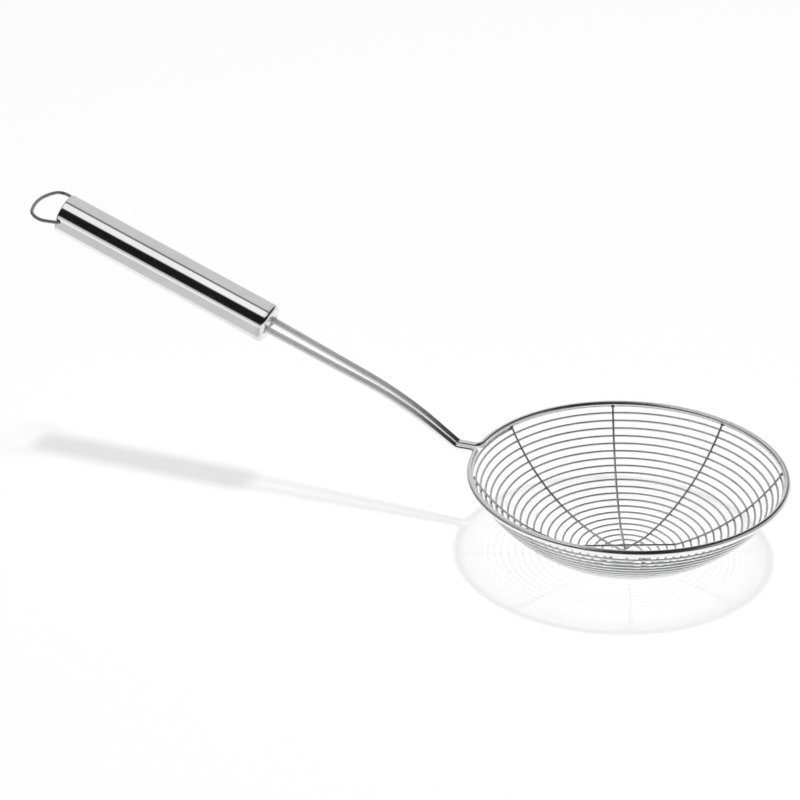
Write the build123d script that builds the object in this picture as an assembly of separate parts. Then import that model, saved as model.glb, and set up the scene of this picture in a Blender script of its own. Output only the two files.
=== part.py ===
from build123d import *
import math
import os

# Spider skimmer: a round rod bent into a rim and a two-legged neck, a bowl of one spiral wire on
# four crossing ribs, a hollow round handle with two caps, and a hanging loop that swings.
# The handle points along -X, +Z is up, and the origin lies under the bowl's centre, at floor level.
# All lengths are in millimetres, all angles in degrees.

# Bowl
bowl_diameter = 160.0
bowl_depth = 45.0  # rim plane to the winding's centre line at the middle
rim_rod_diameter = 3.4
rim_rod_sides = 5  # flats round the rod
weld_gap = 0.05  # between wires that are welded where they cross

# Spiral winding
winding_wire_diameter = 1.2
winding_turns = 21
winding_sides = 3  # flats round the wire
winding_lead = 1.2  # how far the spiral has left the rim's centre line where it starts
winding_hole_radius = 7.9
winding_start_azimuth = 157.5
flat_cut_share = 0.1  # of the wire's diameter, taken off where the bowl stands

# Crossing ribs, numbered from the lowest of the stack to the highest
rib_wire_diameter = 1.2
rib_sides = 3
rib_1_azimuth = 157.5
rib_2_azimuth = 67.5
rib_3_azimuth = 112.5
rib_4_azimuth = 22.5
rib_bend_radius = 12.0

# Neck: the rim rod's two legs, side by side
leg_spacing = 4.6
leg_spacing_at_handle = 10.4
neck_root_radius = 4.0  # where a leg turns into the rim
neck_stub = 11.5  # from the rim's centre line to the sharp bend
neck_bend_radius = 5.0
neck_climb = 35.8
neck_climb_angle = 35.0
neck_sweep_radius = 190.0
neck_run = 78.4
neck_angle = 21.8
leg_insertion = 30.0

# Handle: a tube between two discs, welded to its ends and polished flush
handle_diameter = 20.9
handle_length = 123.2
handle_angle = 21.2
tube_wall = 0.8
front_cap_thickness = 3.2
front_shoulder_radius = 2.3
rear_cap_thickness = 1.0
slot_clearance = 0.7  # round the legs in the front cap's slot
plug_recess = 0.5  # from the front cap to the plug behind it
plug_length = 32.0
nose_recess = 0.6  # from the front face to the plug's nose in the slot
nose_clearance = 0.3
fit_clearance = 0.05  # radial, between pieces that slide into each other and stay

# Hanging loop
loop_wire_diameter = 1.8
loop_wire_sides = 4
loop_pivot_inset = 2.3  # from the handle's rear face
loop_half_width = 16.8
loop_reach = 17.4  # from the pivot to the far side's centre line
loop_corner_radius = 6.0
loop_end_radius = 34.0
loop_bend_radius = 1.4
loop_side_gap = 0.1  # between the handle and the bend
loop_pin_inside = 1.5  # how far a pin stands out inside the tube
hinge_clearance = 0.05

overrun = 5.0  # how far a cutting tool passes a face

# Radii that follow
rim_r = (bowl_diameter - rim_rod_diameter) / 2
bowl_sphere_r = (rim_r**2 + bowl_depth**2) / (2 * bowl_depth)
tube_r = handle_diameter / 2
bore_r = tube_r - tube_wall


def corner_radius(diameter, sides):
    """Radius of the corners of a regular section with the area of the round wire."""
    return diameter / 2 * math.sqrt(2 * math.pi / (sides * math.sin(2 * math.pi / sides)))


rod_r = corner_radius(rim_rod_diameter, rim_rod_sides)
winding_r = corner_radius(winding_wire_diameter, winding_sides)
rib_r = corner_radius(rib_wire_diameter, rib_sides)
loop_r = corner_radius(loop_wire_diameter, loop_wire_sides)

# Arc lengths along the bowl's side, counted from the rim's centre line down to the middle
rim_polar = math.asin(rim_r / bowl_sphere_r)
side_arc = bowl_sphere_r * rim_polar
winding_seat = rod_r + winding_r + weld_gap
hole_arc = bowl_sphere_r * math.asin(winding_hole_radius / bowl_sphere_r)
winding_pitch = (side_arc - hole_arc - winding_lead) / winding_turns

# The winding's section has a flat that faces into the bowl, halfway between rim and middle
winding_turn = 90 - math.degrees(rim_polar) / 2
winding_corners = [winding_turn + 360 * corner / winding_sides for corner in range(winding_sides)]
winding_low = winding_r * max(math.sin(math.radians(corner)) for corner in winding_corners)
winding_high = winding_r * math.cos(max(math.pi / winding_sides - rim_polar / 2, 0))
rib_flat = rib_r * math.cos(math.pi / rib_sides)
rib_offset = winding_high + rib_flat + weld_gap

# Heights above the floor
cut_depth = flat_cut_share * winding_wire_diameter
hole_sag = bowl_sphere_r - math.sqrt(bowl_sphere_r**2 - winding_hole_radius**2)
rim_z = bowl_depth - hole_sag + winding_low - cut_depth
sphere_z = rim_z - bowl_depth + bowl_sphere_r


def polar(azimuth, radius, z):
    """Point at an azimuth and a radius from the bowl's axis."""
    turn = math.radians(azimuth)
    return Vector(radius * math.cos(turn), radius * math.sin(turn), z)


def swept(path, radius, sides, across, turn):
    """Wire of a regular section along a path, its first corner turned from a direction across."""
    start = Plane(origin=path @ 0, x_dir=across, z_dir=path % 0)
    return sweep(start * RegularPolygon(radius, sides, rotation=turn), path=path)


def winding_point(half_turn):
    """Point of the spiral after a number of half turns, on the line of its start."""
    arc = max(winding_seat, winding_lead + half_turn * winding_pitch / 2)
    angle = rim_polar - arc / bowl_sphere_r
    side = 1 if half_turn % 2 == 0 else -1
    z = sphere_z - bowl_sphere_r * math.cos(angle)
    return polar(winding_start_azimuth, side * bowl_sphere_r * math.sin(angle), z)


def winding_path():
    """Spiral down the bowl's side, one half circle for each half turn."""
    outward = polar(winding_start_azimuth + 90, 1, 0)
    halves = []
    for half_turn in range(2 * winding_turns):
        start = winding_point(half_turn)
        end = winding_point(half_turn + 1)
        bulge = (end - start).length / 2
        side = 1 if half_turn % 2 == 0 else -1
        middle = (start + end) / 2 + outward * (side * bulge)
        halves.append(ThreePointArc(start, middle, end))
    return halves


def least_gap(halves, points_a_half=24):
    """Least clear distance between one turn of the spiral and the turns beside it."""
    points = [tuple(half @ (i / points_a_half)) for half in halves for i in range(points_a_half)]
    apart = 3 * points_a_half // 2
    near = min(
        math.dist(points[i], points[j])
        for i in range(len(points))
        for j in range(i + apart, min(len(points), i + 3 * apart))
    )
    return near - 2 * winding_r


def make_winding():
    halves = winding_path()
    print("winding least gap to itself", round(least_gap(halves), 3))
    wire = swept(
        Wire(halves), winding_r, winding_sides, polar(winding_start_azimuth, 1, 0), winding_turn
    )
    below = Box(bowl_diameter, bowl_diameter, bowl_depth, align=(Align.CENTER, Align.CENTER, Align.MAX))
    return wire - below


def make_rib(azimuth, level):
    """Rib across the bowl, flat over the middle where it passes over the ribs below it."""
    radius = bowl_sphere_r - rib_offset
    end_arc = math.sqrt((rod_r + weld_gap) ** 2 - (rib_offset - rib_flat) ** 2)
    end_angle = rim_polar - end_arc / bowl_sphere_r

    def on_side(angle):
        return polar(azimuth, radius * math.sin(angle), sphere_z - radius * math.cos(angle))

    if level == 0:
        edges = [ThreePointArc(on_side(end_angle), on_side(0), on_side(-end_angle))]
    else:
        flat_z = sphere_z - radius + level * (rib_r + rib_flat + weld_gap)
        drop = sphere_z - flat_z - rib_bend_radius
        flat_end = math.sqrt((radius - rib_bend_radius) ** 2 - drop**2)
        leave = math.atan2(flat_end, drop)
        bend_u = flat_end + rib_bend_radius * math.sin(leave / 2)
        bend_z = flat_z + rib_bend_radius * (1 - math.cos(leave / 2))
        side = [
            ThreePointArc(on_side(end_angle), on_side((end_angle + leave) / 2), on_side(leave)),
            ThreePointArc(
                on_side(leave), polar(azimuth, bend_u, bend_z), polar(azimuth, flat_end, flat_z)
            ),
        ]
        middle = Plane(origin=(0, 0, 0), z_dir=polar(azimuth, 1, 0))
        flat = Line(polar(azimuth, flat_end, flat_z), polar(azimuth, -flat_end, flat_z))
        edges = [*side, flat, *[edge.mirror(middle) for edge in side]]
    return swept(Wire(edges), rib_r, rib_sides, polar(azimuth + 90, 1, 0), 90 - 180 / rib_sides)


def neck_points(side):
    """Corners of one leg's centre line, from the rim to its end inside the handle."""
    bend = Vector(-(rim_r + neck_stub), side * leg_spacing / 2, rim_z)
    climb = math.radians(neck_climb_angle)
    run = math.radians(neck_angle)
    climb_x = neck_climb * math.cos(climb)
    run_x = neck_run * math.cos(run)
    spread = side * (leg_spacing_at_handle - leg_spacing) / 2 / (climb_x + run_x)
    top = bend + Vector(-climb_x, spread * climb_x, neck_climb * math.sin(climb))
    mouth = top + Vector(-run_x, spread * run_x, neck_run * math.sin(run))
    end = mouth + (mouth - top).normalized() * leg_insertion
    return bend, top, mouth, end


def leg_edges(side):
    """One leg and the bend that turns it into the rim."""
    bend, top, _, end = neck_points(side)
    half = leg_spacing / 2
    centre_y = half + neck_root_radius
    centre_x = -math.sqrt((rim_r + neck_root_radius) ** 2 - centre_y**2)
    root = Vector(centre_x, side * half, rim_z)
    leg = FilletPolyline(end, top, bend, root, radius=[neck_sweep_radius, neck_bend_radius])
    centre = Vector(centre_x, side * centre_y, rim_z)
    inward = Vector(-centre_x, -side * centre_y, 0).normalized()
    touch = centre + inward * neck_root_radius
    middle = centre + (inward + Vector(0, -side, 0)).normalized() * neck_root_radius
    return leg, ThreePointArc(root, middle, touch), touch


def make_rim_rod():
    leg_1, root_1, touch_1 = leg_edges(1)
    leg_2, root_2, touch_2 = leg_edges(-1)
    ring = ThreePointArc(touch_1, Vector(rim_r, 0, rim_z), touch_2)
    path = Wire([*leg_1.edges(), root_1, ring, root_2, *leg_2.edges()])
    return swept(path, rod_r, rim_rod_sides, Vector(0, 1, 0), 0)


def handle_frame():
    """Local frame of the handle: Z along its axis from the front face, X across, Y up."""
    _, _, mouth, _ = neck_points(1)
    angle = math.radians(handle_angle)
    return Plane(
        origin=(mouth.X, 0, mouth.Z),
        x_dir=(0, -1, 0),
        z_dir=(-math.cos(angle), 0, math.sin(angle)),
    )


frame = handle_frame()


def upright(radius, low, high):
    """Cylinder on the handle's axis between two heights."""
    return Pos(0, 0, low) * Cylinder(radius, high - low, align=(Align.CENTER, Align.CENTER, Align.MIN))


def make_handle_tube():
    low = front_cap_thickness
    high = handle_length - rear_cap_thickness
    holes = Cylinder(
        loop_wire_diameter / 2 + hinge_clearance, 2 * (tube_r + overrun), rotation=(0, 90, 0)
    )
    tube = upright(tube_r, low, high) - upright(bore_r, low - overrun, high + overrun)
    return frame * (tube - Pos(0, 0, handle_length - loop_pivot_inset) * holes)


def revolved(points):
    """Solid of revolution of an outline in radius and height."""
    side = Plane(origin=(0, 0, 0), x_dir=(1, 0, 0), z_dir=(0, -1, 0))
    return revolve(side * make_face(Polyline(*points, close=True)), axis=Axis.Z)


def oblong(clearance, low, high):
    """Oblong round both legs at the front face, between two heights on the handle's axis."""
    outline = SlotCenterToCenter(leg_spacing_at_handle, 2 * (rod_r + clearance))
    return Pos(0, 0, low) * extrude(outline, high - low)


def make_front_cap():
    # The bevel touches the rounded shoulder in its middle
    bevel = front_shoulder_radius * (2 - math.sqrt(2))
    rear = front_cap_thickness
    disc = revolved([(0, 0), (tube_r - bevel, 0), (tube_r, bevel), (tube_r, rear), (0, rear)])
    return frame * (disc - oblong(slot_clearance, -overrun, rear + overrun))


def leg_bore(side):
    """Cutting tool along one leg, in world coordinates."""
    _, top, mouth, end = neck_points(side)
    along = (end - top).normalized()
    length = front_cap_thickness + plug_recess + plug_length + 2 * overrun
    tool = Cylinder(rod_r + fit_clearance, length, align=(Align.CENTER, Align.CENTER, Align.MIN))
    return Plane(origin=mouth - along * overrun, z_dir=along) * tool


def make_rod_plug():
    low = front_cap_thickness + plug_recess
    body = upright(bore_r - fit_clearance, low, low + plug_length)
    nose = oblong(slot_clearance - nose_clearance, nose_recess, low + plug_length / 2)
    return frame * (body + nose) - leg_bore(1) - leg_bore(-1)


def make_rear_cap():
    return frame * upright(tube_r, handle_length - rear_cap_thickness, handle_length)


def loop_point(place):
    """Point of the hanging loop in the handle's frame, from its place across and along."""
    across, along = place
    return Vector(across, 0, handle_length - loop_pivot_inset + along)


def loop_arc(centre, radius, start, end):
    """Arc about a centre, from one direction to another, less than a half turn apart."""
    between = ((start + end) / 2).normalized()
    places = [centre + way * radius for way in (start, between, end)]
    return ThreePointArc(*[loop_point((place.X, place.Y)) for place in places])


def loop_half():
    """Half of the hanging loop, from where it leaves its pin to the middle of its far side."""
    bend = Vector(tube_r + loop_side_gap, loop_bend_radius)
    far = Vector(0, loop_reach - loop_end_radius)
    corner_across = loop_half_width - loop_corner_radius
    rise = math.sqrt((loop_end_radius - loop_corner_radius) ** 2 - corner_across**2)
    corner = Vector(corner_across, far.Y + rise)
    # The flared leg is straight and touches the bend's circle and the corner's
    apart = corner - bend
    lean = math.asin((loop_corner_radius - loop_bend_radius) / apart.length)
    heading = math.atan2(apart.Y, apart.X) - lean
    square = Vector(math.sin(heading), -math.cos(heading))
    to_far = (corner - far).normalized()
    flare_start = bend + square * loop_bend_radius
    flare_end = corner + square * loop_corner_radius
    return [
        loop_arc(bend, loop_bend_radius, Vector(0, -1), square),
        Line(loop_point((flare_start.X, flare_start.Y)), loop_point((flare_end.X, flare_end.Y))),
        loop_arc(corner, loop_corner_radius, square, to_far),
        loop_arc(far, loop_end_radius, to_far, Vector(0, 1)),
    ]


def make_hanging_loop():
    half = loop_half()
    other = [edge.mirror(Plane.YZ) for edge in half]
    path = Wire([*half, *reversed(other)])
    wire = swept(path, loop_r, loop_wire_sides, Vector(0, 1, 0), 180 / loop_wire_sides)
    pin_length = tube_r + loop_side_gap - bore_r + loop_pin_inside
    pin = Pos(tube_r + loop_side_gap - pin_length / 2, 0, handle_length - loop_pivot_inset) * Cylinder(
        loop_wire_diameter / 2, pin_length, rotation=(0, 90, 0)
    )
    return frame * (wire + pin + pin.mirror(Plane.YZ))


def main():
    os.makedirs("parts", exist_ok=True)
    nodes = {"rim_rod": make_rim_rod(), "spiral_winding": make_winding()}
    for level, azimuth in enumerate([rib_1_azimuth, rib_2_azimuth, rib_3_azimuth, rib_4_azimuth]):
        nodes[f"cross_rib_{level + 1}"] = make_rib(azimuth, level)
    nodes["handle_tube"] = make_handle_tube()
    nodes["front_cap"] = make_front_cap()
    nodes["rod_plug"] = make_rod_plug()
    nodes["rear_cap"] = make_rear_cap()
    nodes["hanging_loop"] = make_hanging_loop()
    for name, solid in nodes.items():
        export_step(solid, f"parts/{name}.step")
        print(name, "volume", round(solid.volume, 1))


main()
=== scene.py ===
import math

import bpy
import numpy as np
from mathutils import Matrix, Vector


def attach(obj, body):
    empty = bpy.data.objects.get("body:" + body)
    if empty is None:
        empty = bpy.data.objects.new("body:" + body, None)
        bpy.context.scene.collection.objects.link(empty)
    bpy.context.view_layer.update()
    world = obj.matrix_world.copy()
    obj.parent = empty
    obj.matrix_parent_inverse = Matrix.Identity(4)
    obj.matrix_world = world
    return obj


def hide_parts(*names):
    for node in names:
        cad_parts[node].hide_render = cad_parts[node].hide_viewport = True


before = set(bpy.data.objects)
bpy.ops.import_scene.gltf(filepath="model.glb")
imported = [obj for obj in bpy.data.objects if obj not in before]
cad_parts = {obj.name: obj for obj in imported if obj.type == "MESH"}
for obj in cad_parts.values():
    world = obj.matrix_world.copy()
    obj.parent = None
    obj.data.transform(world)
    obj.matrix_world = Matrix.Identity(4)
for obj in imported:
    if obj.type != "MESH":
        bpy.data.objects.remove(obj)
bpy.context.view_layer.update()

mm = 0.001
print("frame loaded:", len(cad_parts), "nodes")


# Bowl: what the rim, the winding and the ribs share, in millimetres and degrees

bowl = {
    "rimRadius": 78.3,  # centre line of the rim rod
    "rimHeight": 45.344,
    "sphereRadius": 90.621,  # the winding's centre line lies on this sphere
    "sphereHeight": 90.965,
    "holeRadius": 7.9,
    "turns": 21,
    "startAzimuth": 157.5,
    "rodRadius": 1.7,
    "wireRadius": 0.6,
}
rimPolar = math.asin(bowl["rimRadius"] / bowl["sphereRadius"])


def unit(vectors):
    return vectors / np.linalg.norm(vectors, axis=-1, keepdims=True)


def polarPoints(azimuth, radius, height):
    # Points at an azimuth in degrees, a distance from the bowl's axis and a height
    turn = np.radians(azimuth)
    across, along, up = np.broadcast_arrays(radius * np.cos(turn), radius * np.sin(turn), height)
    return np.stack([across, along, up], axis=-1).astype(float)


# Surfaces

def makePiece(name, surfaces, body, material, replaced=(), sharpAngle=45.0):
    # One mesh from several surfaces in millimetres. Each is a tuple of points, blocks of faces and the
    # places of the faces' corners, which the finish's pattern follows.
    points, sides, corners, places, count = [], [], [], [], 0
    for surfacePoints, faces, facePlaces in surfaces:
        points.append(surfacePoints * mm)
        sides += [np.full(len(block), block.shape[1]) for block in faces]
        corners += [block.ravel() + count for block in faces]
        places += [block.reshape(-1, 2) * mm for block in facePlaces]
        count += len(surfacePoints)
    points, sides, corners, places = map(np.concatenate, (points, sides, corners, places))
    mesh = bpy.data.meshes.new(name)
    mesh.vertices.add(len(points))
    mesh.vertices.foreach_set("co", points.ravel())
    mesh.loops.add(len(corners))
    mesh.loops.foreach_set("vertex_index", corners)
    mesh.polygons.add(len(sides))
    mesh.polygons.foreach_set("loop_start", np.concatenate([[0], np.cumsum(sides)[:-1]]))
    mesh.update(calc_edges=True)
    mesh.uv_layers.new(name="places").data.foreach_set("uv", places.ravel())
    mesh.polygons.foreach_set("use_smooth", np.ones(len(sides), bool))
    mesh.set_sharp_from_angle(angle=math.radians(sharpAngle))
    mesh.validate()
    piece = bpy.data.objects.new(name, mesh)
    bpy.context.scene.collection.objects.link(piece)
    mesh.materials.append(material)
    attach(piece, body)
    if replaced:
        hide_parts(*replaced)
    return piece


def runLengths(points):
    # Length along a row of points up to each of them
    return np.concatenate([[0], np.cumsum(np.linalg.norm(np.diff(points, axis=0), axis=1))])


def ringSurface(rings, lengths, girths, capped=True):
    # Quads between neighbouring rings of points, each ring closed on itself, with a point in the middle of
    # the first and the last ring where the surface is capped; without caps the last ring joins the first.
    # A corner's place is its length along and its way round, so a pattern can follow the surface.
    count, around = rings.shape[:2]
    points = rings.reshape(-1, 3)
    last = count - 1 if capped else count
    i, j = np.meshgrid(np.arange(last), np.arange(around), indexing="ij")
    nextI, nextJ = (i + 1) % count, (j + 1) % around
    quads = np.stack([i * around + j, i * around + nextJ, nextI * around + nextJ, nextI * around + j], -1)
    lengths = np.append(lengths, lengths[-1] + np.linalg.norm(rings[0, 0] - rings[-1, 0]))
    share = np.arange(around + 1) / around
    u = np.stack([lengths[i], lengths[i], lengths[i + 1], lengths[i + 1]], -1)
    v = np.stack([share[j], share[j + 1], share[j + 1], share[j]], -1) * np.asarray(girths)[i][..., None]
    faces = [quads.reshape(-1, 4)]
    places = [np.stack([u, v], -1).reshape(-1, 4, 2)]
    if capped:
        middles = np.stack([rings[0].mean(0), rings[-1].mean(0)])
        ring = np.arange(around)
        beside = (ring + 1) % around
        first = np.stack([np.full(around, len(points)), beside, ring], -1)
        end = np.stack([np.full(around, len(points) + 1), ring, beside], -1)
        end[:, 1:] += (count - 1) * around
        points = np.concatenate([points, middles])
        for fan, place in ((first, lengths[0]), (end, lengths[count - 1])):
            faces.append(fan)
            flat = points[fan] - points[fan[:, :1]]
            places.append(np.stack([place + flat[..., 0], flat[..., 1]], -1))
    return points, faces, places


def wireSurface(centres, across, radius, sides, edge=0.15):
    # Circle carried along a path: point = centre + radius * (across * cos(turn) + beside * sin(turn)).
    # At both ends the circle shrinks over a quarter turn of the edge radius, so the ends are rounded off.
    along = unit(np.gradient(centres, axis=0))
    across = unit(across - along * np.sum(across * along, axis=1, keepdims=True))
    swing = np.radians(np.array([30.0, 60.0, 90.0]))
    out, less = edge * np.sin(swing), edge * (1 - np.cos(swing))
    before = centres[0] - along[0] * out[::-1, None]
    after = centres[-1] + along[-1] * out[:, None]
    rims = len(swing)
    centres = np.concatenate([before, centres, after])
    along = np.concatenate([np.repeat(along[:1], rims, 0), along, np.repeat(along[-1:], rims, 0)])
    across = np.concatenate([np.repeat(across[:1], rims, 0), across, np.repeat(across[-1:], rims, 0)])
    radii = np.full(len(centres), float(radius))
    radii[:rims] -= less[::-1]
    radii[-rims:] -= less
    beside = np.cross(along, across)
    turn = 2 * np.pi * np.arange(sides) / sides
    circle = across[:, None] * np.cos(turn)[:, None] + beside[:, None] * np.sin(turn)[:, None]
    rings = centres[:, None] + radii[:, None, None] * circle
    return ringSurface(rings, runLengths(centres), np.full(len(rings), 2 * np.pi * radius))


def turnedSurface(outline, sides, origin, axes, capped=True):
    # Outline of radius and height, turned about the third axis:
    # point = origin + radius * circle + height * axis
    outline = np.asarray(outline, float)
    turn = 2 * np.pi * np.arange(sides) / sides
    circle = np.cos(turn)[:, None] * axes[0] + np.sin(turn)[:, None] * axes[1]
    rings = origin + outline[:, :1, None] * circle + outline[:, 1:, None] * axes[2]
    return ringSurface(rings, runLengths(outline), 2 * np.pi * np.maximum(outline[:, 0], 1), capped)


def dropSurface(centre, axes, radii, rows=5, sides=8):
    # Ellipsoid: point = centre + the sum of the three axes, each times its radius and its part of the
    # direction on a unit sphere
    polar = np.pi * (np.arange(rows) + 0.5) / rows
    turn = 2 * np.pi * np.arange(sides) / sides
    x = np.sin(polar)[:, None] * np.cos(turn)
    y = np.sin(polar)[:, None] * np.sin(turn)
    z = np.repeat(np.cos(polar)[:, None], sides, axis=1)
    shape = sum(part[..., None] * axis * radius for part, axis, radius in zip((x, y, z), axes, radii))
    return ringSurface(centre + shape[::-1], polar * radii[0], np.full(rows, 2 * np.pi * radii[0]))


def arcPoints(centre, radius, start, end, step):
    # Points of an arc about a centre, from one direction to another less than a half turn away
    angle = math.acos(max(-1.0, min(1.0, float(np.dot(start, end)))))
    square = unit(end - start * np.dot(start, end))
    turn = np.linspace(0, angle, max(3, int(math.ceil(radius * angle / step)) + 1))[:, None]
    return centre + radius * (start * np.cos(turn) + square * np.sin(turn))


def linePoints(start, end, step):
    share = np.linspace(0, 1, max(2, int(math.ceil(np.linalg.norm(end - start) / step)) + 1))[:, None]
    return start + (end - start) * share


def roundedRun(corners, radii, lineStep, arcStep):
    # Straight runs between corners, with an arc at each inner corner that touches both of its runs
    parts, start = [], corners[0]
    for before, corner, after, radius in zip(corners, corners[1:], corners[2:], radii):
        inward, outward = unit(before - corner), unit(after - corner)
        half = math.acos(float(np.dot(inward, outward))) / 2
        reach = radius / math.tan(half)
        centre = corner + unit(inward + outward) * radius / math.sin(half)
        first, last = corner + inward * reach, corner + outward * reach
        parts.append(linePoints(start, first, lineStep))
        parts.append(arcPoints(centre, radius, unit(first - centre), unit(last - centre), arcStep))
        start = last
    parts.append(linePoints(start, corners[-1], lineStep))
    return joined(parts)


def joined(parts):
    # Points of several runs in a row, each shared end kept once
    sameWithin = 1e-4
    points = np.concatenate(parts)
    apart = np.linalg.norm(np.diff(points, axis=0), axis=1) > sameWithin
    return points[np.concatenate([[True], apart])]


# Steel

steel = {
    "cloudDetail": 5.0, "cloudFineness": 0.6, "greySpan": (0.32, 0.68),
    "lineDetail": 3.0, "lineSpan": (0.3, 0.7),
}


def steelMaterial(name, look):
    # Bare steel. A broad cloud turns one grey into the other and fine lines run along or round the piece.
    # Both change the roughness a little, so reflections break up as on drawn and polished metal.
    material = bpy.data.materials.new(name)
    material.use_nodes = True
    tree = material.node_tree
    nodes, links = tree.nodes, tree.links
    shader = nodes["Principled BSDF"]
    shader.inputs["Metallic"].default_value = 1.0
    place = nodes.new("ShaderNodeTexCoord")
    cloud = nodes.new("ShaderNodeTexNoise")
    cloud.inputs["Scale"].default_value = look["cloudScale"]
    cloud.inputs["Detail"].default_value = steel["cloudDetail"]
    cloud.inputs["Roughness"].default_value = steel["cloudFineness"]
    links.new(place.outputs["Object"], cloud.inputs["Vector"])
    greys = nodes.new("ShaderNodeValToRGB")
    stops, tones = greys.color_ramp.elements, (look["darkGrey"], look["lightGrey"])
    for stop, position, grey in zip(stops, steel["greySpan"], tones):
        stop.position, stop.color = position, (*grey, 1)
    links.new(cloud.outputs["Fac"], greys.inputs["Fac"])

    along = nodes.new("ShaderNodeUVMap")
    along.uv_map = "places"
    stretch = nodes.new("ShaderNodeMapping")
    stretch.inputs["Scale"].default_value = (*look["lineScale"], 1)
    links.new(along.outputs["UV"], stretch.inputs["Vector"])
    lines = nodes.new("ShaderNodeTexNoise")
    lines.inputs["Scale"].default_value = 1.0
    lines.inputs["Detail"].default_value = steel["lineDetail"]
    links.new(stretch.outputs["Vector"], lines.inputs["Vector"])

    # Fine lines darken the grey a little
    tone = nodes.new("ShaderNodeMapRange")
    levels = (*steel["lineSpan"], 1 - look["lineTone"], 1.0)
    for socket, value in zip(("From Min", "From Max", "To Min", "To Max"), levels):
        tone.inputs[socket].default_value = value
    links.new(lines.outputs["Fac"], tone.inputs["Value"])
    colour = nodes.new("ShaderNodeVectorMath")
    colour.operation = "SCALE"
    links.new(greys.outputs["Color"], colour.inputs[0])
    links.new(tone.outputs["Result"], colour.inputs["Scale"])
    links.new(colour.outputs["Vector"], shader.inputs["Base Color"])

    # Roughness = its base + a share of the cloud + a share of the lines
    rough = nodes.new("ShaderNodeMath")
    rough.operation = "MULTIPLY_ADD"
    rough.inputs[1].default_value, rough.inputs[2].default_value = look["cloudRoughness"], look["roughness"]
    links.new(cloud.outputs["Fac"], rough.inputs[0])
    rougher = nodes.new("ShaderNodeMath")
    rougher.operation = "MULTIPLY_ADD"
    rougher.inputs[1].default_value = look["lineRoughness"]
    links.new(lines.outputs["Fac"], rougher.inputs[0])
    links.new(rough.outputs["Value"], rougher.inputs[2])
    finish = rougher
    if "duller" in look:
        # The finish grows duller along X, from the first place to the second, by the third value
        split = nodes.new("ShaderNodeSeparateXYZ")
        links.new(place.outputs["Object"], split.inputs["Vector"])
        ramp = nodes.new("ShaderNodeMapRange")
        ramp.interpolation_type = "SMOOTHSTEP"
        for socket, value in zip(("From Min", "From Max", "To Max"), look["duller"]):
            ramp.inputs[socket].default_value = value
        links.new(split.outputs["X"], ramp.inputs["Value"])
        finish = nodes.new("ShaderNodeMath")
        finish.operation = "ADD"
        links.new(rougher.outputs["Value"], finish.inputs[0])
        links.new(ramp.outputs["Result"], finish.inputs[1])
    links.new(finish.outputs["Value"], shader.inputs["Roughness"])

    bump = nodes.new("ShaderNodeBump")
    bump.inputs["Strength"].default_value = look["bump"]
    bump.inputs["Distance"].default_value = look["bumpDepth"]
    links.new(lines.outputs["Fac"], bump.inputs["Height"])
    links.new(bump.outputs["Normal"], shader.inputs["Normal"])
    return material


# Each steel: its two greys, the cloud's scale, the lines' scales along and round the piece (per metre),
# how much the lines darken it, roughness with what cloud and lines add, and the bump's share and depth (m)
rodSteel = steelMaterial("drawnRodSteel", {
    "darkGrey": (0.90, 0.90, 0.905), "lightGrey": (0.98, 0.98, 0.985), "cloudScale": 60.0,
    "lineScale": (40.0, 5200.0), "lineTone": 0.05, "roughness": 0.17, "cloudRoughness": 0.10,
    "lineRoughness": 0.08, "bump": 0.25, "bumpDepth": 0.00004, "duller": (-0.086, -0.122, 0.36),
})
wireSteel = steelMaterial("drawnWireSteel", {
    "darkGrey": (0.90, 0.90, 0.905), "lightGrey": (0.97, 0.97, 0.975), "cloudScale": 90.0,
    "lineScale": (60.0, 9000.0), "lineTone": 0.10, "roughness": 0.36, "cloudRoughness": 0.14,
    "lineRoughness": 0.10, "bump": 0.25, "bumpDepth": 0.00003,
})
# The ribs are the winding's wire painted a darker grey: painted shade, standing in for the dark reflections
# they show
shadedRibSteel = steelMaterial("drawnRibSteelPaintedShade", {
    "darkGrey": (0.62, 0.62, 0.625), "lightGrey": (0.74, 0.74, 0.745), "cloudScale": 90.0,
    "lineScale": (60.0, 9000.0), "lineTone": 0.15, "roughness": 0.18, "cloudRoughness": 0.12,
    "lineRoughness": 0.10, "bump": 0.25, "bumpDepth": 0.00003,
})
weldSteel = steelMaterial("fusedWeldSteel", {
    "darkGrey": (0.25, 0.23, 0.21), "lightGrey": (0.42, 0.41, 0.40), "cloudScale": 700.0,
    "lineScale": (900.0, 900.0), "lineTone": 0.2, "roughness": 0.28, "cloudRoughness": 0.2,
    "lineRoughness": 0.1, "bump": 0.4, "bumpDepth": 0.00008,
})
tubeSteel = steelMaterial("polishedTubeSteel", {
    "darkGrey": (0.84, 0.84, 0.845), "lightGrey": (0.91, 0.91, 0.915), "cloudScale": 35.0,
    "lineScale": (7000.0, 60.0), "lineTone": 0.05, "roughness": 0.045, "cloudRoughness": 0.06,
    "lineRoughness": 0.05, "bump": 0.12, "bumpDepth": 0.00002,
})
capSteel = steelMaterial("polishedCapSteel", {
    "darkGrey": (0.78, 0.78, 0.785), "lightGrey": (0.86, 0.86, 0.865), "cloudScale": 60.0,
    "lineScale": (6000.0, 90.0), "lineTone": 0.08, "roughness": 0.06, "cloudRoughness": 0.08,
    "lineRoughness": 0.06, "bump": 0.15, "bumpDepth": 0.00002,
})
plugSteel = steelMaterial("castPlugSteel", {
    "darkGrey": (0.55, 0.55, 0.56), "lightGrey": (0.72, 0.72, 0.73), "cloudScale": 260.0,
    "lineScale": (900.0, 900.0), "lineTone": 0.15, "roughness": 0.28, "cloudRoughness": 0.15,
    "lineRoughness": 0.1, "bump": 0.3, "bumpDepth": 0.00006,
})
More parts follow.
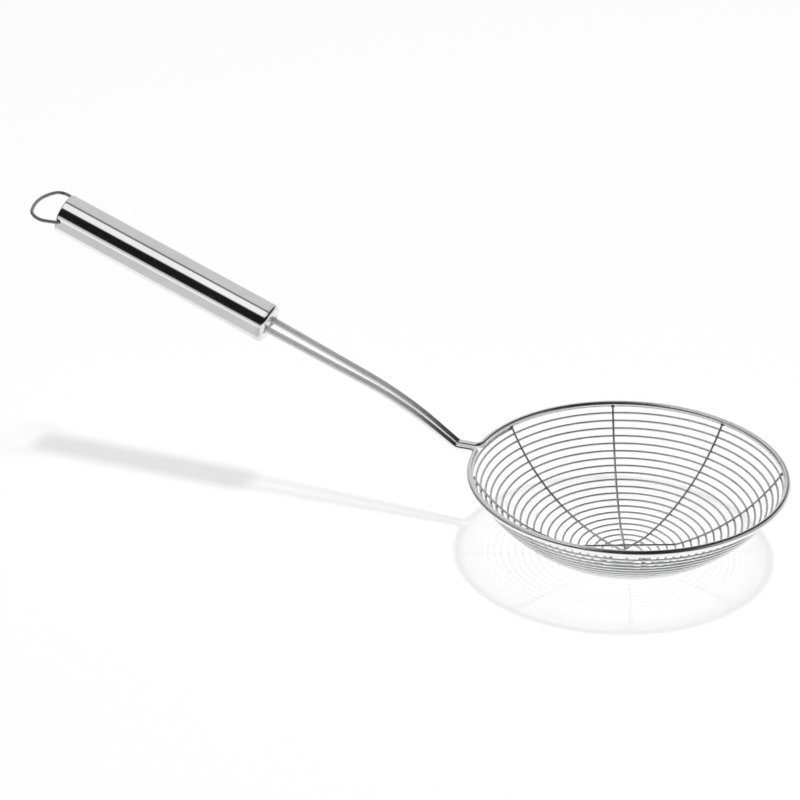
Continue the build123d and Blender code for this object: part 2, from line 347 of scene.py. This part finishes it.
# The loop's wire is painted far darker than steel is: painted shade, standing in for its dark reflections
shadedLoopSteel = steelMaterial("bentLoopSteelPaintedShade", {
    "darkGrey": (0.24, 0.24, 0.245), "lightGrey": (0.38, 0.38, 0.385), "cloudScale": 120.0,
    "lineScale": (60.0, 7000.0), "lineTone": 0.12, "roughness": 0.12, "cloudRoughness": 0.12,
    "lineRoughness": 0.08, "bump": 0.2, "bumpDepth": 0.00003,
})
print("steel finishes made")


# Rim and neck: one rod

neck = {
    "legSpacing": 4.6, "spacingAtHandle": 10.4, "rootRadius": 4.0, "stub": 11.5, "bendRadius": 5.0,
    "climb": 35.8, "climbAngle": 35.0, "sweepRadius": 190.0, "run": 78.4, "angle": 21.8, "insertion": 30.0,
    "sides": 28, "lineStep": 2.0, "arcStep": 0.45, "ringStep": 1.2, "endEdge": 0.3,
}


def neckCorners(side):
    # Corners of one leg's centre line: sharp bend, top of the climb, mouth of the handle and the leg's end
    climb, run = math.radians(neck["climbAngle"]), math.radians(neck["angle"])
    climbX, runX = neck["climb"] * math.cos(climb), neck["run"] * math.cos(run)
    spread = side * (neck["spacingAtHandle"] - neck["legSpacing"]) / 2 / (climbX + runX)
    bend = np.array([-(bowl["rimRadius"] + neck["stub"]), side * neck["legSpacing"] / 2, bowl["rimHeight"]])
    top = bend + np.array([-climbX, spread * climbX, neck["climb"] * math.sin(climb)])
    mouth = top + np.array([-runX, spread * runX, neck["run"] * math.sin(run)])
    return bend, top, mouth, mouth + unit(mouth - top) * neck["insertion"]


def legPoints(side):
    # From the leg's end in the handle, over the sweep and the sharp bend, and round the root into the rim
    bend, top, _, end = neckCorners(side)
    centreY = side * (neck["legSpacing"] / 2 + neck["rootRadius"])
    centreX = -math.sqrt((bowl["rimRadius"] + neck["rootRadius"]) ** 2 - centreY ** 2)
    centre = np.array([centreX, centreY, bowl["rimHeight"]])
    root = np.array([centreX, side * neck["legSpacing"] / 2, bowl["rimHeight"]])
    radii = [neck["sweepRadius"], neck["bendRadius"]]
    leg = roundedRun([end, top, bend, root], radii, neck["lineStep"], neck["arcStep"])
    inward = unit(np.array([-centreX, -centreY, 0.0]))
    rootArc = arcPoints(centre, neck["rootRadius"], np.array([0.0, -side, 0.0]), inward, neck["arcStep"])
    return joined([leg, rootArc]), centre + inward * neck["rootRadius"]


leftLeg, leftTouch = legPoints(1)
rightLeg, rightTouch = legPoints(-1)
ringEnd = math.degrees(math.atan2(leftTouch[1], leftTouch[0]))
ringCount = int(math.radians(2 * ringEnd) * bowl["rimRadius"] / neck["ringStep"])
ring = polarPoints(np.linspace(ringEnd, -ringEnd, ringCount), bowl["rimRadius"], bowl["rimHeight"])
rodPath = joined([leftLeg, ring, rightLeg[::-1]])
upward = np.tile([0.0, 0.0, 1.0], (len(rodPath), 1))
rodShape = wireSurface(rodPath, upward, bowl["rodRadius"], neck["sides"], neck["endEdge"])
makePiece("rimRod", [rodShape], "skimmer", rodSteel, ["rim_rod"])
print("rim and neck rod made:", len(rodPath), "rings")


# Winding: one wire in a spiral down the bowl

winding = {"lead": 1.2, "step": 1.5, "fineSteps": 40000, "sides": 12}
seat = bowl["rodRadius"] + bowl["wireRadius"]
sideArc = bowl["sphereRadius"] * rimPolar
holeArc = bowl["sphereRadius"] * math.asin(bowl["holeRadius"] / bowl["sphereRadius"])
pitch = (sideArc - holeArc - winding["lead"]) / bowl["turns"]


def windingPoints(turns):
    # Spiral on the sphere. Its arc from the rim grows by one pitch a turn, after a stretch along the rim:
    # angle = rim's angle - max(seat, lead + turns * pitch) / sphere's radius
    angle = rimPolar - np.maximum(seat, winding["lead"] + turns * pitch) / bowl["sphereRadius"]
    return polarPoints(
        bowl["startAzimuth"] + 360 * turns, bowl["sphereRadius"] * np.sin(angle),
        bowl["sphereHeight"] - bowl["sphereRadius"] * np.cos(angle),
    )


def evenly(curve, start, end, step):
    # Values between start and end whose points on a curve are about a step apart
    fine = np.linspace(start, end, winding["fineSteps"])
    length = runLengths(curve(fine))
    return np.interp(np.linspace(0, length[-1], int(length[-1] / step)), length, fine)


sphereCentre = np.array([0.0, 0.0, bowl["sphereHeight"]])
windingPath = windingPoints(evenly(windingPoints, 0, bowl["turns"], winding["step"]))
toCentre = unit(sphereCentre - windingPath)
windingShape = wireSurface(windingPath, toCentre, bowl["wireRadius"], winding["sides"])
windingShape[0][:, 2] = np.maximum(windingShape[0][:, 2], 0)  # worn flat where the bowl stands
makePiece("windingWire", [windingShape], "skimmer", wireSteel, ["spiral_winding"])
print("winding made:", len(windingPath), "rings")


# Ribs: four wires across the bowl, each flat over the ones below it

ribs = {
    "azimuths": (157.5, 67.5, 112.5, 22.5), "bendRadius": 12.0, "step": 1.0, "sides": 14,
    "stackStep": 1.2, "seat": 1.18, "endArc": 1.55,
}
ribSphere = bowl["sphereRadius"] - ribs["seat"]
ribEndAngle = rimPolar - ribs["endArc"] / bowl["sphereRadius"]


def ribPoints(azimuth, level):
    # In the rib's own plane: arc of the sphere down one side, a bend and the flat run over the middle,
    # then the same mirrored. The lowest rib has no flat run. Also how far out it leaves the sphere.
    top = np.array([math.sin(ribEndAngle), -math.cos(ribEndAngle)])
    centre = np.array([0.0, bowl["sphereHeight"]])
    if level == 0:
        low = np.array([0.0, -1.0])
        side = arcPoints(centre, ribSphere, top, low, ribs["step"])
        leaveOut = 0.0
    else:
        flatHeight = bowl["sphereHeight"] - ribSphere + level * ribs["stackStep"]
        drop = bowl["sphereHeight"] - flatHeight - ribs["bendRadius"]
        flatEnd = math.sqrt((ribSphere - ribs["bendRadius"]) ** 2 - drop ** 2)
        leave = math.atan2(flatEnd, drop)
        leaveWay = np.array([math.sin(leave), -math.cos(leave)])
        bendCentre = np.array([flatEnd, flatHeight + ribs["bendRadius"]])
        leaveOut = ribSphere * math.sin(leave)
        side = joined([
            arcPoints(centre, ribSphere, top, leaveWay, ribs["step"]),
            arcPoints(bendCentre, ribs["bendRadius"], leaveWay, np.array([0.0, -1.0]), ribs["step"] / 2),
            linePoints(np.array([flatEnd, flatHeight]), np.array([0.0, flatHeight]), ribs["step"]),
        ])
    outline = joined([side, side[::-1] * np.array([-1.0, 1.0])])
    return polarPoints(azimuth, outline[:, 0], outline[:, 1]), leaveOut


weldPlaces = []
for level, azimuth in enumerate(ribs["azimuths"]):
    path, leaveOut = ribPoints(azimuth, level)
    sideways = polarPoints(azimuth + 90, np.ones(len(path)), 0.0)
    ribShape = wireSurface(path, sideways, bowl["wireRadius"], ribs["sides"])
    number = level + 1
    makePiece(f"ribWire{number}", [ribShape], "skimmer", shadedRibSteel, [f"cross_rib_{number}"])
    for half in (0, 180):
        first = ((azimuth + half - bowl["startAzimuth"]) / 360) % 1
        crossings = windingPoints(np.arange(first, bowl["turns"] + 1e-6, 1.0))
        crossings = crossings[np.hypot(crossings[:, 0], crossings[:, 1]) >= leaveOut]
        weldPlaces.append((crossings, azimuth + half))
print("ribs made:", len(ribs["azimuths"]))


# Welds: small fused spots where a rib touches a turn, and where wires end on the rim

welds = {
    "spotSize": (0.62, 0.80, 0.42), "spotHeightShare": 0.98, "endSize": (0.85, 1.15, 0.8), "endShift": 0.15,
    "tackTurns": (0.0, 0.09, 0.18, 0.26), "tackSize": (0.55, 1.1, 0.5),
}


def weldSpot(centre, azimuth, toward, size):
    # Fused spot whose third axis points at what it joins and whose second runs round the bowl
    around = polarPoints(azimuth + 90, 1.0, 0.0)
    return dropSurface(centre, (np.cross(around, toward), around, toward), size)


def rimPoint(azimuth):
    return polarPoints(azimuth, bowl["rimRadius"], bowl["rimHeight"])


drops = []
for crossings, azimuth in weldPlaces:
    for point, inward in zip(crossings, unit(sphereCentre - crossings)):
        centre = point + inward * bowl["wireRadius"] * welds["spotHeightShare"]
        drops.append(weldSpot(centre, azimuth, inward, welds["spotSize"]))
    ribEndHeight = bowl["sphereHeight"] - ribSphere * math.cos(ribEndAngle)
    ribEnd = polarPoints(azimuth, ribSphere * math.sin(ribEndAngle), ribEndHeight)
    toRim = unit(rimPoint(azimuth) - ribEnd)
    drops.append(weldSpot(ribEnd + toRim * welds["endShift"], azimuth, toRim, welds["endSize"]))
for turns in welds["tackTurns"]:
    wire = windingPoints(np.array([turns]))[0]
    azimuth = bowl["startAzimuth"] + 360 * turns
    toRim = unit(rimPoint(azimuth) - wire)
    drops.append(weldSpot(wire + toRim * bowl["wireRadius"], azimuth, toRim, welds["tackSize"]))
makePiece("wireWelds", drops, "skimmer", weldSteel)
print("welds made:", len(drops))


# Handle: tube, two caps and the plug that grips the legs

handle = {
    "diameter": 20.9, "length": 123.2, "angle": 21.2, "wall": 0.8, "frontThickness": 3.2, "shoulder": 2.3,
    "rearThickness": 1.0, "rearEdge": 0.9, "rearFaceEdge": 0.3, "rearRim": 2.5, "slotClearance": 0.95,
    "slotLip": 0.35, "frontBackRim": 2.0, "pinInset": 2.3, "pinHole": 1.9, "pinOverrun": 5.0,
    "sides": 160, "rows": 24, "pinSides": 32, "poleRadius": 0.02,
}
tubeRadius = handle["diameter"] / 2
mouthMiddle = neckCorners(1)[2] * np.array([1.0, 0.0, 1.0])
lean = math.radians(handle["angle"])
handleAxes = np.array([
    [0.0, -1.0, 0.0],
    [math.sin(lean), 0.0, math.cos(lean)],
    [-math.cos(lean), 0.0, math.sin(lean)],
])


def tubeOutline():
    # Radius and height of the outer wall from front to rear, then of the bore back to the front
    low, high = handle["frontThickness"], handle["length"] - handle["rearThickness"]
    outer, inner = tubeRadius, tubeRadius - handle["wall"]
    rows = np.linspace(low, high, handle["rows"])
    wall = np.stack([np.full(handle["rows"], outer), rows], -1)
    bore = np.stack([np.full(handle["rows"], inner), rows[::-1]], -1)
    return np.concatenate([wall, bore])


tubeShape = turnedSurface(tubeOutline(), handle["sides"], mouthMiddle, handleAxes, capped=False)
tube = makePiece("handleTube", [tubeShape], "skimmer", tubeSteel, ["handle_tube"])


def boreHoles(piece):
    # Pin holes right through the tube's side, cut with one long round bar
    height = handle["length"] - handle["pinInset"]
    middle = mouthMiddle + handleAxes[2] * height
    barAxes = np.array([handleAxes[1], handleAxes[2], handleAxes[0]])
    reach = tubeRadius + handle["pinOverrun"]
    outline = [(handle["pinHole"] / 2, -reach), (handle["pinHole"] / 2, reach)]
    barShape = turnedSurface(outline, handle["pinSides"], middle, barAxes)
    bar = makePiece("pinBar", [barShape], "skimmer", tubeSteel)
    cut = piece.modifiers.new("pinHoles", "BOOLEAN")
    cut.operation, cut.solver, cut.object = "DIFFERENCE", "EXACT", bar
    bpy.context.view_layer.update()
    done = bpy.data.meshes.new_from_object(piece.evaluated_get(bpy.context.evaluated_depsgraph_get()))
    piece.modifiers.remove(cut)
    done.set_sharp_from_angle(angle=math.radians(45))
    piece.data = done
    bpy.data.objects.remove(bar)


boreHoles(tube)
print("handle tube made")


def slotPoints(grow, turn):
    # Where a ray from the middle at each turn meets a slot with straight sides and round ends
    half, height = neck["spacingAtHandle"] / 2, bowl["rodRadius"] + handle["slotClearance"] + grow
    c, s, tiny = np.cos(turn), np.sin(turn), 1e-9
    straight = height / np.maximum(np.abs(s), tiny)
    curved = half * np.abs(c) + np.sqrt(np.maximum((half * c) ** 2 - half ** 2 + height ** 2, 0))
    reach = np.where(straight * np.abs(c) <= half, straight, curved)
    return np.stack([reach * c, reach * s], -1)


def frontCapSurface():
    # Rings from the slot's lip over the face and the rounded shoulder, down the wall and back up the slot
    turn = 2 * np.pi * np.arange(handle["sides"]) / handle["sides"]
    circle = np.stack([np.cos(turn), np.sin(turn)], -1)
    lip, shoulder, thick = handle["slotLip"], handle["shoulder"], handle["frontThickness"]
    rings = []
    for swing in np.radians(np.linspace(0, 90, 7)):
        rings.append((slotPoints(lip * (1 - math.cos(swing)), turn), lip * (1 - math.sin(swing))))
    inner, outer = slotPoints(lip, turn), circle * (tubeRadius - shoulder)
    for share in np.linspace(0, 1, 8)[1:]:
        rings.append((inner + (outer - inner) * share, 0.0))
    for swing in np.radians(np.linspace(0, 90, 15))[1:]:
        drawnIn, depth = shoulder * (1 - math.sin(swing)), shoulder * (1 - math.cos(swing))
        rings.append((circle * (tubeRadius - drawnIn), depth))
    rings.append((circle * tubeRadius, thick))
    rings.append((circle * (tubeRadius - handle["frontBackRim"]), thick))
    rings.append((slotPoints(0.0, turn), thick))
    flat = np.stack([ring for ring, _ in rings])
    heights = np.array([height for _, height in rings])[:, None, None]
    points = mouthMiddle + flat[..., :1] * handleAxes[0] + flat[..., 1:] * handleAxes[1]
    points = points + heights * handleAxes[2]
    girths = 2 * np.pi * np.linalg.norm(flat, axis=-1).mean(1)
    return ringSurface(points, runLengths(points[:, 0]), girths, capped=False)


makePiece("frontCap", [frontCapSurface()], "skimmer", capSteel, ["front_cap"])


def rearOutline():
    # Radius and height: out over the face in the tube, round the outer edge, and in over the outer face
    rear, edge, pole = handle["length"], handle["rearEdge"], handle["poleRadius"]
    face = rear - handle["rearThickness"]
    turn = np.radians(np.linspace(0, 90, 9))
    rounded = np.stack([tubeRadius - edge + edge * np.cos(turn), rear - edge + edge * np.sin(turn)], -1)
    return np.concatenate([
        [(pole, face), (tubeRadius - handle["rearFaceEdge"], face), (tubeRadius, face)],
        rounded, [(tubeRadius - handle["rearRim"], rear), (pole, rear)],
    ])


rearShape = turnedSurface(rearOutline(), handle["sides"], mouthMiddle, handleAxes)
makePiece("rearCap", [rearShape], "skimmer", capSteel, ["rear_cap"])
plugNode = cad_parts["rod_plug"]
plugNode.data.materials.clear()
plugNode.data.materials.append(plugSteel)
print("caps and plug made")


# Hanging loop: one wire whose pins turn in the tube's holes

loop = {
    "wireRadius": 0.9, "halfWidth": 16.8, "reach": 17.3, "cornerRadius": 6.0, "endRadius": 34.0,
    "bendRadius": 1.4, "sideGap": 0.1, "pinInside": 1.5, "endEdge": 0.2, "step": 0.35, "sides": 24,
}


def loopHalf():
    # Across and along from the pins' line: pin, bend, flared leg, corner and half of the far side,
    # each tangent to the next
    bend = np.array([tubeRadius + loop["sideGap"], loop["bendRadius"]])
    far = np.array([0.0, loop["reach"] - loop["endRadius"]])
    cornerAcross = loop["halfWidth"] - loop["cornerRadius"]
    rise = math.sqrt((loop["endRadius"] - loop["cornerRadius"]) ** 2 - cornerAcross ** 2)
    corner = np.array([cornerAcross, far[1] + rise])
    apart = corner - bend
    tilt = math.asin((loop["cornerRadius"] - loop["bendRadius"]) / np.linalg.norm(apart))
    heading = math.atan2(apart[1], apart[0]) - tilt
    square = np.array([math.sin(heading), -math.cos(heading)])
    legStart, legEnd = bend + square * loop["bendRadius"], corner + square * loop["cornerRadius"]
    toFar = unit(corner - far)
    inside = np.array([tubeRadius - handle["wall"] - loop["pinInside"], 0.0])
    return joined([
        linePoints(inside, np.array([bend[0], 0.0]), loop["step"]),
        arcPoints(bend, loop["bendRadius"], np.array([0.0, -1.0]), square, loop["step"] / 2),
        linePoints(legStart, legEnd, loop["step"]),
        arcPoints(corner, loop["cornerRadius"], square, toFar, loop["step"]),
        arcPoints(far, loop["endRadius"], toFar, np.array([0.0, 1.0]), loop["step"]),
    ])


half = loopHalf()
outline = joined([half, half[::-1] * np.array([-1.0, 1.0])])
pinMiddle = mouthMiddle + handleAxes[2] * (handle["length"] - handle["pinInset"])
loopPath = pinMiddle + outline[:, :1] * handleAxes[0] + outline[:, 1:] * handleAxes[2]
loopAcross = np.tile(handleAxes[1], (len(loopPath), 1))
loopShape = wireSurface(loopPath, loopAcross, loop["wireRadius"], loop["sides"], loop["endEdge"])
makePiece("hangingLoop", [loopShape], "loop", shadedLoopSteel, ["hanging_loop"])
print("hanging loop made")


# Floor, light and camera

studio = {
    "floorGrey": 0.985, "floorHalf": 6.0, "floorRows": 13, "matt": 0.9,
    "lampWay": (0.14, -0.03, 1.0), "lampDistance": 7.0, "lampSize": 0.70, "lampShare": 0.235,
    "fillHeight": 12.0, "fillShare": 0.640, "fillSpread": 1.45,
}


def mattPaint(name, grey):
    paint = bpy.data.materials.new(name)
    paint.use_nodes = True
    shader = paint.node_tree.nodes["Principled BSDF"]
    shader.inputs["Base Color"].default_value = (grey, grey, grey, 1)
    shader.inputs["Roughness"].default_value = studio["matt"]
    shader.inputs["Specular IOR Level"].default_value = 0.0
    return paint


def floorSurface():
    # Flat grid of points around the object, all at the height it stands on
    rows = studio["floorRows"]
    place = np.linspace(-studio["floorHalf"], studio["floorHalf"], rows)
    x, y = np.meshgrid(place, place, indexing="ij")
    points = np.stack([x, y, np.zeros_like(x)], -1).reshape(-1, 3)
    i, j = np.meshgrid(np.arange(rows - 1), np.arange(rows - 1), indexing="ij")
    near, far = i * rows + j, (i + 1) * rows + j
    return points, np.stack([near, far, far + 1, near + 1], -1).reshape(-1, 4)


floorPoints, floorQuads = floorSurface()
floorMesh = bpy.data.meshes.new("floor")
floorMesh.from_pydata(floorPoints.tolist(), [], floorQuads.tolist())
floorMesh.materials.append(mattPaint("paleFloor", studio["floorGrey"]))
floor = bpy.data.objects.new("floor", floorMesh)
bpy.context.scene.collection.objects.link(floor)


def areaLamp(name, shape, size, energy, place, shadow=True):
    # Soft lamp that faces the middle of the object; polished steel doesn't mirror it
    data = bpy.data.lights.new(name, "AREA")
    data.shape, data.size, data.energy = shape, size, energy
    data.use_shadow = shadow
    lamp = bpy.data.objects.new(name, data)
    facing = Vector(place).to_track_quat("Z", "Y").to_matrix().to_4x4()
    lamp.matrix_world = Matrix.Translation(place) @ facing
    lamp.visible_glossy = False
    bpy.context.scene.collection.objects.link(lamp)


def lampEnergy(share, distance):
    # Watts with which a small lamp lights the floor at this distance as a dome of strength share would
    return share * (math.pi * distance) ** 2


lampPlace = unit(np.array(studio["lampWay"])) * studio["lampDistance"]
lampWatts = lampEnergy(studio["lampShare"], studio["lampDistance"])
areaLamp("overheadLamp", "DISK", studio["lampSize"], lampWatts, lampPlace)
# The fill lamp is as wide as it is high, so it needs more. It casts no shadow, which keeps the bowl's pale.
fillPlace = np.array([0.0, 0.0, studio["fillHeight"]])
fillWatts = lampEnergy(studio["fillShare"], studio["fillHeight"]) * studio["fillSpread"]
areaLamp("fillLamp", "SQUARE", studio["fillHeight"], fillWatts, fillPlace, shadow=False)

# Flat cards that only reflections show, as a studio's cards shape the stripes on polished metal.
# The dark one draws the rim's dark line, the grey one the handle's lower side. All in metres.
cards = {
    "cardAboveBowl": {"x": (-0.05, 0.30), "y": (-0.55, 0.70), "height": 0.33, "grey": 0.02},
    "cardBelowHandle": {"x": (-0.75, -0.16), "y": (-0.50, -0.03), "height": 0.002, "grey": 0.64},
}


def stageCard(name, card):
    (left, right), (near, far), height = card["x"], card["y"], card["height"]
    corners = [(left, near, height), (right, near, height), (right, far, height), (left, far, height)]
    mesh = bpy.data.meshes.new(name)
    mesh.from_pydata(corners, [], [(0, 1, 2, 3)])
    mesh.materials.append(mattPaint(name, card["grey"]))
    piece = bpy.data.objects.new(name, mesh)
    bpy.context.scene.collection.objects.link(piece)
    for ray in ("camera", "diffuse", "transmission", "volume_scatter", "shadow"):
        setattr(piece, f"visible_{ray}", False)


for name, card in cards.items():
    stageCard(name, card)

# Levels of the world, and between which heights or along which directions one turns into the next.
# A direction's height is its Z, from 0 at the horizon to 1 overhead.
sky = {
    "around": 0.08, "surroundings": 0.66, "bright": 1.0, "dark": 0.012, "band": 0.18, "ends": 0.40,
    "frontAzimuth": -78.0, "gapFoot": (0.09, 0.17), "gapTop": (0.76, 0.84), "gapFront": (0.30, 0.42),
    "brightHeight": (0.70, 0.86), "brightFront": (-0.05, 0.15),
    "seamWay": (0.105, 0.99, -0.053), "seamWidth": (0.06, 0.13), "seamFoot": (0.3, 0.5),
    "endReach": (0.52, 0.80), "handleEndReach": (0.74, 0.88), "handleEndTop": (0.30, 0.45),
}


def studioWorld():
    # White where the camera looks past the floor, and dim for all else but reflections. Those show pale
    # surroundings with a dark gap in front, a thin dark seam overhead, dimmer ends to the left and right,
    # and a dark foot beyond the handle's end.
    world = bpy.data.worlds.new("studio")
    world.use_nodes = True
    tree = world.node_tree
    nodes, links = tree.nodes, tree.links
    background, output = nodes["Background"], nodes["World Output"]
    way = nodes.new("ShaderNodeTexCoord")
    split = nodes.new("ShaderNodeSeparateXYZ")
    links.new(way.outputs["Generated"], split.inputs["Vector"])

    def dot(direction):
        node = nodes.new("ShaderNodeVectorMath")
        node.operation = "DOT_PRODUCT"
        links.new(way.outputs["Generated"], node.inputs[0])
        node.inputs[1].default_value = direction
        return node.outputs["Value"]

    def feed(socket, value):
        if isinstance(value, (int, float)):
            socket.default_value = value
        else:
            links.new(value, socket)

    def step(value, span):
        node = nodes.new("ShaderNodeMapRange")
        node.interpolation_type = "SMOOTHSTEP"
        node.inputs["From Min"].default_value, node.inputs["From Max"].default_value = span
        links.new(value, node.inputs["Value"])
        return node.outputs["Result"]

    def maths(operation, a, b=0.0):
        node = nodes.new("ShaderNodeMath")
        node.operation = operation
        feed(node.inputs[0], a)
        feed(node.inputs[1], b)
        return node.outputs["Value"]

    def below(value, span):
        return maths("SUBTRACT", 1.0, step(value, span))

    def mixed(share, a, b):
        node = nodes.new("ShaderNodeMix")
        node.data_type = "FLOAT"
        links.new(share, node.inputs["Factor"])
        feed(node.inputs["A"], a)
        feed(node.inputs["B"], b)
        return node.outputs["Result"]

    height, across = split.outputs["Z"], split.outputs["X"]
    frontTurn = math.radians(sky["frontAzimuth"])
    front = dot((math.cos(frontTurn), math.sin(frontTurn), 0.0))
    gap = maths("MULTIPLY", step(height, sky["gapFoot"]), below(height, sky["gapTop"]))
    gap = maths("MULTIPLY", gap, step(front, sky["gapFront"]))
    bright = maths("MULTIPLY", step(height, sky["brightHeight"]), step(front, sky["brightFront"]))
    seam = below(maths("ABSOLUTE", dot(sky["seamWay"])), sky["seamWidth"])
    seam = maths("MULTIPLY", seam, step(height, sky["seamFoot"]))
    ends = step(maths("ABSOLUTE", across), sky["endReach"])
    handleEnd = step(maths("MULTIPLY", across, -1.0), sky["handleEndReach"])
    handleEnd = maths("MULTIPLY", handleEnd, below(height, sky["handleEndTop"]))
    level = mixed(bright, sky["surroundings"], sky["bright"])
    level = mixed(seam, level, sky["band"])
    level = mixed(ends, level, sky["ends"])
    level = mixed(handleEnd, level, sky["dark"])
    level = mixed(gap, level, sky["dark"])
    path = nodes.new("ShaderNodeLightPath")
    level = mixed(path.outputs["Is Glossy Ray"], sky["around"], level)
    level = mixed(path.outputs["Is Camera Ray"], level, 1.0)
    links.new(level, background.inputs["Color"])
    links.new(background.outputs["Background"], output.inputs["Surface"])
    return world


bpy.context.scene.world = studioWorld()
bpy.context.scene.view_settings.view_transform = "Standard"

view = {
    "place": (0.3027, -1.0985, 0.6547), "forward": (-0.32156, 0.83424, -0.44792),
    "right": (0.9330, 0.3600, 0.0), "lens": 117.0, "sensor": 36.0, "clipEnd": 50.0,
}
cameraData = bpy.data.cameras.new("camera")
cameraData.lens, cameraData.sensor_width, cameraData.sensor_fit = view["lens"], view["sensor"], "HORIZONTAL"
cameraData.clip_end = view["clipEnd"]
camera = bpy.data.objects.new("camera", cameraData)
forward, right = unit(np.array(view["forward"])), unit(np.array(view["right"]))
turned = Matrix(np.stack([right, np.cross(right, forward), -forward], axis=1).tolist()).to_4x4()
camera.matrix_world = Matrix.Translation(view["place"]) @ turned
bpy.context.scene.collection.objects.link(camera)
bpy.context.scene.camera = camera
print("floor, light and camera set")
